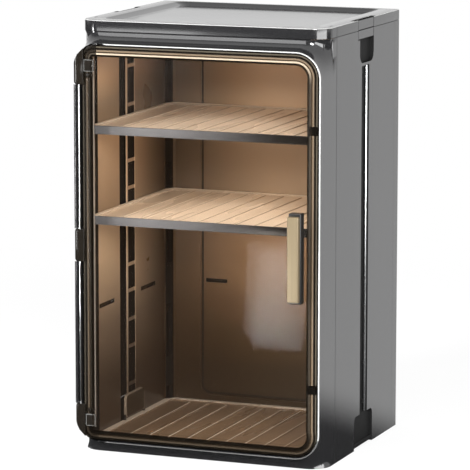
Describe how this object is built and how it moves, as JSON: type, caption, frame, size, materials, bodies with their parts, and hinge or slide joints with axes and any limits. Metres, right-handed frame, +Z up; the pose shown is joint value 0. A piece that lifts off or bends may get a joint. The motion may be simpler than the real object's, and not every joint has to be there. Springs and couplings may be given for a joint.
{
  "type": "cup storage cabinet",
  "caption": "Upright folding-wall plastic cabinet with a smoked hinged door, ribbed shelves, latched lid and ribbed floor for cups.",
  "frame": {"origin": "centre of the footprint, handle included, at the underside of the foot pads", "axes": "+Z up, -Y towards the door's front, +X towards the door's opening edge"},
  "size_m": [0.35, 0.3434, 0.585],
  "materials": {
    "shell": "glossy mid-grey moulded plastic",
    "door": "clear smoked amber-brown plastic, glossy",
    "shelf": "satin warm grey plastic",
    "trim": "satin blue-grey plastic",
    "gold": "pale satin gold",
    "black": "black satin plastic",
    "magnet": "black coated magnet",
    "steel": "bright steel",
    "rubber": "matt black rubber"
  },
  "bodies": {
    "cabinet": {"front_frame": "shell", "back_panel": "shell", "left_wall_front": "shell", "right_wall_front": "shell", "left_wall_rear": "shell", "right_wall_rear": "shell", "top_cover": "shell", "upper_shelf": "shelf", "middle_shelf": "shelf", "base_tray": "shelf", "upper_shelf_trim": "trim", "middle_shelf_trim": "trim", "lower_frame_magnet": "magnet", "upper_frame_magnet": "magnet", "door_hinge_pin": "steel", "left_fold_pin": "steel", "right_fold_pin": "steel", "front_left_seam_pin": "steel", "front_right_seam_pin": "steel", "rear_left_seam_pin": "steel", "rear_right_seam_pin": "steel", "left_latch_pin": "steel", "right_latch_pin": "steel", "left_lock_pin": "steel", "right_lock_pin": "steel", "front_left_foot": "rubber", "front_right_foot": "rubber", "rear_left_foot": "rubber", "rear_right_foot": "rubber"},
    "door": {"door_panel": "door", "door_handle_base": "black", "door_handle_trim": "gold", "lower_handle_screw": "steel", "upper_handle_screw": "steel", "lower_door_magnet": "magnet", "upper_door_magnet": "magnet"},
    "left_latch": {"left_lid_latch": "shell"},
    "right_latch": {"right_lid_latch": "shell"},
    "left_lock": {"left_floor_lock": "shell"},
    "right_lock": {"right_floor_lock": "shell"}
  },
  "joints": [
    {"name": "door_swing", "type": "hinge", "parent": "cabinet", "child": "door", "pos_m": [-0.169, -0.14335, 0.2865], "axis": [0, 0, -1], "range_deg": [0, 170]},
    {"name": "right_latch_flip", "type": "hinge", "parent": "cabinet", "child": "right_latch", "pos_m": [0.1714, 0.02965, 0.5805], "axis": [0, -1, 0], "range_deg": [0, 80]},
    {"name": "left_latch_flip", "type": "hinge", "parent": "cabinet", "child": "left_latch", "pos_m": [-0.1714, 0.02965, 0.5805], "axis": [0, 1, 0], "range_deg": [0, 80]},
    {"name": "right_lock_tilt", "type": "hinge", "parent": "cabinet", "child": "right_lock", "pos_m": [0.1652, 0.0323, 0.0195], "axis": [0, -1, 0], "range_deg": [0, 80]},
    {"name": "left_lock_tilt", "type": "hinge", "parent": "cabinet", "child": "left_lock", "pos_m": [-0.1652, 0.0323, 0.0195], "axis": [0, 1, 0], "range_deg": [0, 80]}
  ]
}
